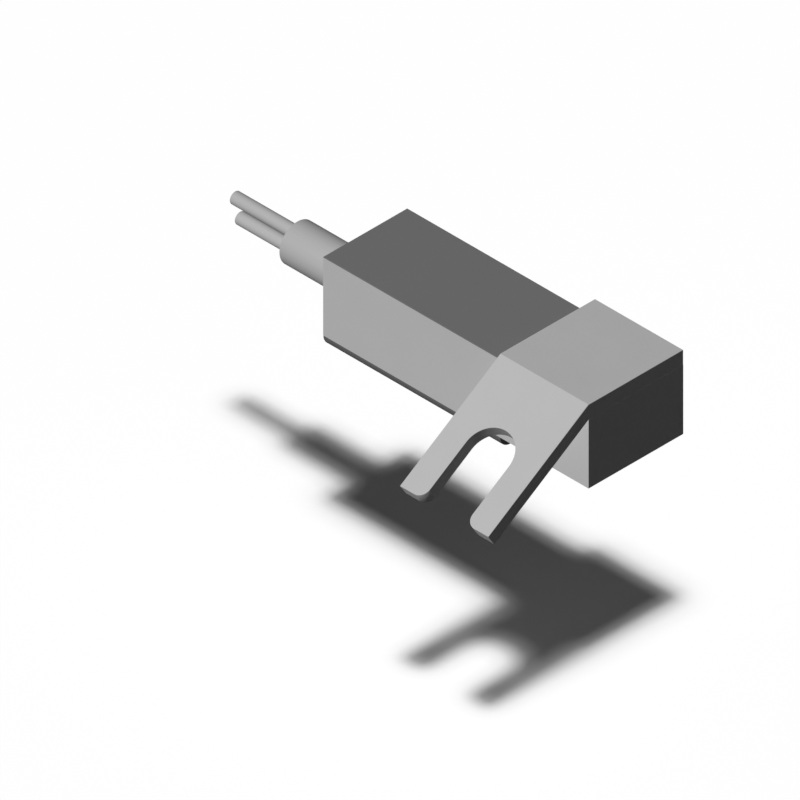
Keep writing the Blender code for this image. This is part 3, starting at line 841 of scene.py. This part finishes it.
class SENSOR_OT_reed(Operator):
    """Finishes the reed switch."""

    bl_idname = "sensor.reed"
    bl_label = "Reed switch"

    def execute(self, context):
        glass = drawn_glass("reed_tube", recorded_colour("reed_tube"))
        finish_nodes(glass, "reed_glass")
        steel = bare_metal(
            "reed_steel", recorded_colour("spring_steel"), roughness=0.22, across=0.04 * MM
        )
        finish_nodes(steel, "reed_blade_near", "reed_blade_far")
        return {"FINISHED"}


class SENSOR_OT_chips(Operator):
    """Finishes the resistor and the surge diode."""

    bl_idname = "sensor.chips"
    bl_label = "Resistor and diode"

    def execute(self, context):
        ceramic = chip_ceramic("ceramic", recorded_colour("ceramic"))
        finish_nodes(ceramic, "series_resistor", "surge_diode")
        return {"FINISHED"}


class SENSOR_OT_resin(Operator):
    """Finishes the casting resin."""

    bl_idname = "sensor.resin"
    bl_label = "Casting resin"

    def execute(self, context):
        resin = cast_resin("resin", recorded_colour("resin"))
        finish_nodes(resin, "casting_resin")
        return {"FINISHED"}


# Stage


def seen_or_bounced(tree, seen, bounced):
    """A grey for camera, gloss and glass rays, and another for the rest."""
    rays = tree.nodes.new("ShaderNodeLightPath")
    total = rays.outputs["Is Camera Ray"]
    for name in ("Is Glossy Ray", "Is Transmission Ray"):
        either = tree.nodes.new("ShaderNodeMath")
        either.operation = "MAXIMUM"
        tree.links.new(total, either.inputs[0])
        tree.links.new(rays.outputs[name], either.inputs[1])
        total = either.outputs[0]
    mix = tree.nodes.new("ShaderNodeMix")
    mix.data_type = "RGBA"
    mix.inputs["A"].default_value = (bounced, bounced, bounced, 1.0)
    mix.inputs["B"].default_value = (seen, seen, seen, 1.0)
    tree.links.new(total, mix.inputs["Factor"])
    return mix.outputs["Result"]


def add_sun(name, towards, strength, spread=0.0, casts_shadow=False):
    """A sun that shines from a direction."""
    data = bpy.data.lights.new(name, "SUN")
    data.energy = strength
    data.angle = spread
    data.use_shadow = casts_shadow
    sun = bpy.data.objects.new(name, data)
    sun.rotation_mode = "QUATERNION"
    sun.rotation_quaternion = Vector(towards).to_track_quat("Z", "Y")
    bpy.context.collection.objects.link(sun)
    return sun


def limit_light(sun, thing, state):
    """Lets a light reach only one thing, or everything but that thing."""
    reached = bpy.data.collections.new(f"{sun.name}_reach")
    reached.objects.link(thing)
    reached.collection_objects[0].light_linking.link_state = state
    sun.light_linking.receiver_collection = reached


class SENSOR_OT_stage(Operator):
    """Adds the floor, the lights and the camera."""

    bl_idname = "sensor.stage"
    bl_label = "Stage"

    def execute(self, context):
        stage = context.scene.sensor_stage
        floor = self.add_floor(stage)
        self.add_world(stage)
        self.light_floor(stage, floor)
        self.light_sensor(stage, floor)
        self.add_camera(stage)
        context.scene.view_settings.view_transform = "Standard"
        return {"FINISHED"}

    def add_floor(self, stage):
        """A white floor, dim to the light that bounces off it."""
        bm = bmesh.new()
        bmesh.ops.create_grid(bm, x_segments=1, y_segments=1, size=stage.floor_size)
        bmesh.ops.translate(bm, verts=bm.verts[:], vec=(0.0, 0.0, -stage.floor_drop))
        mesh = bpy.data.meshes.new("floor")
        bm.to_mesh(mesh)
        bm.free()
        material = bpy.data.materials.new("floor_white")
        material.use_nodes = True
        tree = material.node_tree
        tree.nodes.clear()
        diffuse = tree.nodes.new("ShaderNodeBsdfDiffuse")
        output = tree.nodes.new("ShaderNodeOutputMaterial")
        tree.links.new(diffuse.outputs["BSDF"], output.inputs["Surface"])
        lit = stage.overhead / math.pi + stage.ambient
        grey = seen_or_bounced(tree, WHITE / lit, stage.ambient / lit)
        tree.links.new(grey, diffuse.inputs["Color"])
        mesh.materials.append(material)
        floor = bpy.data.objects.new("floor", mesh)
        floor.visible_shadow = False
        bpy.context.collection.objects.link(floor)
        return floor

    def add_world(self, stage):
        """A room that is white to look at and dim to be lit by."""
        world = bpy.data.worlds.new("studio")
        world.use_nodes = True
        tree = world.node_tree
        grey = seen_or_bounced(tree, WHITE, stage.ambient)
        tree.links.new(grey, tree.nodes["Background"].inputs["Color"])
        bpy.context.scene.world = world

    def light_floor(self, stage, floor):
        """Two soft lights above, which give the floor its white and the sensor's shadow."""
        spreads = {"narrow_overhead": stage.narrow_spread, "wide_overhead": stage.wide_spread}
        for name, spread in spreads.items():
            overhead = add_sun(name, UP, stage.overhead / len(spreads), spread, casts_shadow=True)
            limit_light(overhead, floor, "INCLUDE")

    def light_sensor(self, stage, floor):
        """A key light from above on the fork's side, and a fill from below on the far side."""
        level = math.cos(stage.key_swing)
        key_side = (
            -math.sin(stage.key_swing),
            -level * math.sin(stage.key_lean),
            level * math.cos(stage.key_lean),
        )
        limit_light(add_sun("key_light", key_side, stage.key), floor, "EXCLUDE")
        limit_light(add_sun("back_fill", FILL_SIDE, stage.fill), floor, "EXCLUDE")

    def add_camera(self, stage):
        """An even isometric camera without perspective."""
        data = bpy.data.cameras.new("camera")
        data.type = "ORTHO"
        data.ortho_scale = stage.view_width
        data.clip_start = CLIP_START
        data.clip_end = CLIP_END
        camera = bpy.data.objects.new("camera", data)
        camera.location = Vector(stage.aim) + CAMERA_DISTANCE * CAMERA_SIDE
        camera.rotation_mode = "QUATERNION"
        camera.rotation_quaternion = CAMERA_SIDE.to_track_quat("Z", "Y")
        bpy.context.collection.objects.link(camera)
        bpy.context.scene.camera = camera


OPERATORS = (
    SENSOR_OT_housing,
    SENSOR_OT_cover,
    SENSOR_OT_foot,
    SENSOR_OT_bracket,
    SENSOR_OT_jacket,
    SENSOR_OT_cores,
    SENSOR_OT_clip,
    SENSOR_OT_board,
    SENSOR_OT_reed,
    SENSOR_OT_chips,
    SENSOR_OT_resin,
    SENSOR_OT_stage,
)


class SENSOR_PT_panel(Panel):
    """Lists the pieces and their settings in the sidebar."""

    bl_idname = "SENSOR_PT_panel"
    bl_label = "Cylinder sensor"
    bl_space_type = "VIEW_3D"
    bl_region_type = "UI"
    bl_category = "Sensor"

    def draw(self, context):
        scene = context.scene
        for group in (scene.sensor_form, scene.sensor_finish, scene.sensor_stage):
            box = self.layout.box()
            for name in group.bl_rna.properties.keys():
                if name not in ("rna_type", "name"):
                    box.prop(group, name)
        for operator in OPERATORS:
            self.layout.operator(operator.bl_idname)


CLASSES = (SensorForm, SensorFinish, SensorStage, *OPERATORS, SENSOR_PT_panel)


def register():
    """Adds the classes, and the settings to the scene."""
    for made in CLASSES:
        bpy.utils.register_class(made)
    bpy.types.Scene.sensor_form = PointerProperty(type=SensorForm)
    bpy.types.Scene.sensor_finish = PointerProperty(type=SensorFinish)
    bpy.types.Scene.sensor_stage = PointerProperty(type=SensorStage)


def unregister():
    """Takes the settings and the classes away again."""
    del bpy.types.Scene.sensor_stage
    del bpy.types.Scene.sensor_finish
    del bpy.types.Scene.sensor_form
    for made in reversed(CLASSES):
        bpy.utils.unregister_class(made)


def main():
    """Builds every piece and the stage."""
    register()
    for operator in OPERATORS:
        group, name = operator.bl_idname.split(".")
        getattr(getattr(bpy.ops, group), name)()


if __name__ == "__main__":
    main()
